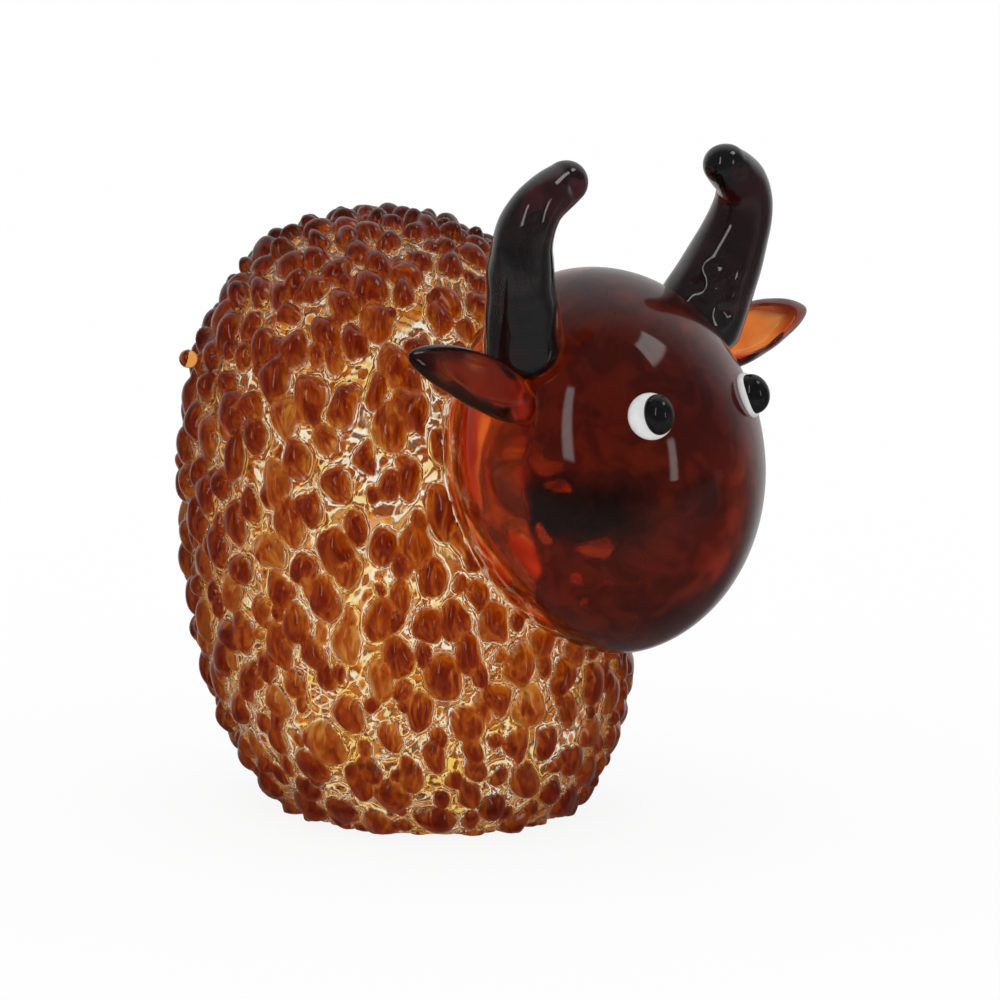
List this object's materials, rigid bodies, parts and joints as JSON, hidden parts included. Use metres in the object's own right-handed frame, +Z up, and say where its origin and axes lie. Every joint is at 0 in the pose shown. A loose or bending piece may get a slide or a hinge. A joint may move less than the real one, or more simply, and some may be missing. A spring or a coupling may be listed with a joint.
{
  "type": "glass cow figurine",
  "caption": "Standing glass cow ornament: an egg-shaped clear body coated in amber glass nubs, a smooth dark red head, curved black horns, leaf-shaped ears and dot eyes.",
  "frame": {"origin": "middle of the flat foot that the figurine stands on", "axes": "+Z up, the cow faces -Y, and +X is the cow's left"},
  "size_m": [0.0828, 0.0968, 0.0983],
  "materials": {
    "clear_glass": "fire-polished clear glass with a faint straw tint",
    "amber_frit": "melted amber glass grains, glossy and uneven",
    "oxblood_glass": "fire-polished dark red-brown glass",
    "black_glass": "fire-polished near-black glass, burgundy where thin",
    "honey_glass": "pinched honey-brown glass",
    "white_glass": "opaque white glass",
    "pupil_glass": "opaque glossy black glass"
  },
  "bodies": {
    "root": {"body_core": "clear_glass", "frit_coat": "amber_frit", "rump_bead": "honey_glass", "head": "oxblood_glass", "left_horn": "black_glass", "right_horn": "black_glass", "left_ear": "honey_glass", "right_ear": "honey_glass", "left_eye_white": "white_glass", "right_eye_white": "white_glass", "left_pupil": "pupil_glass", "right_pupil": "pupil_glass"}
  },
  "joints": []
}
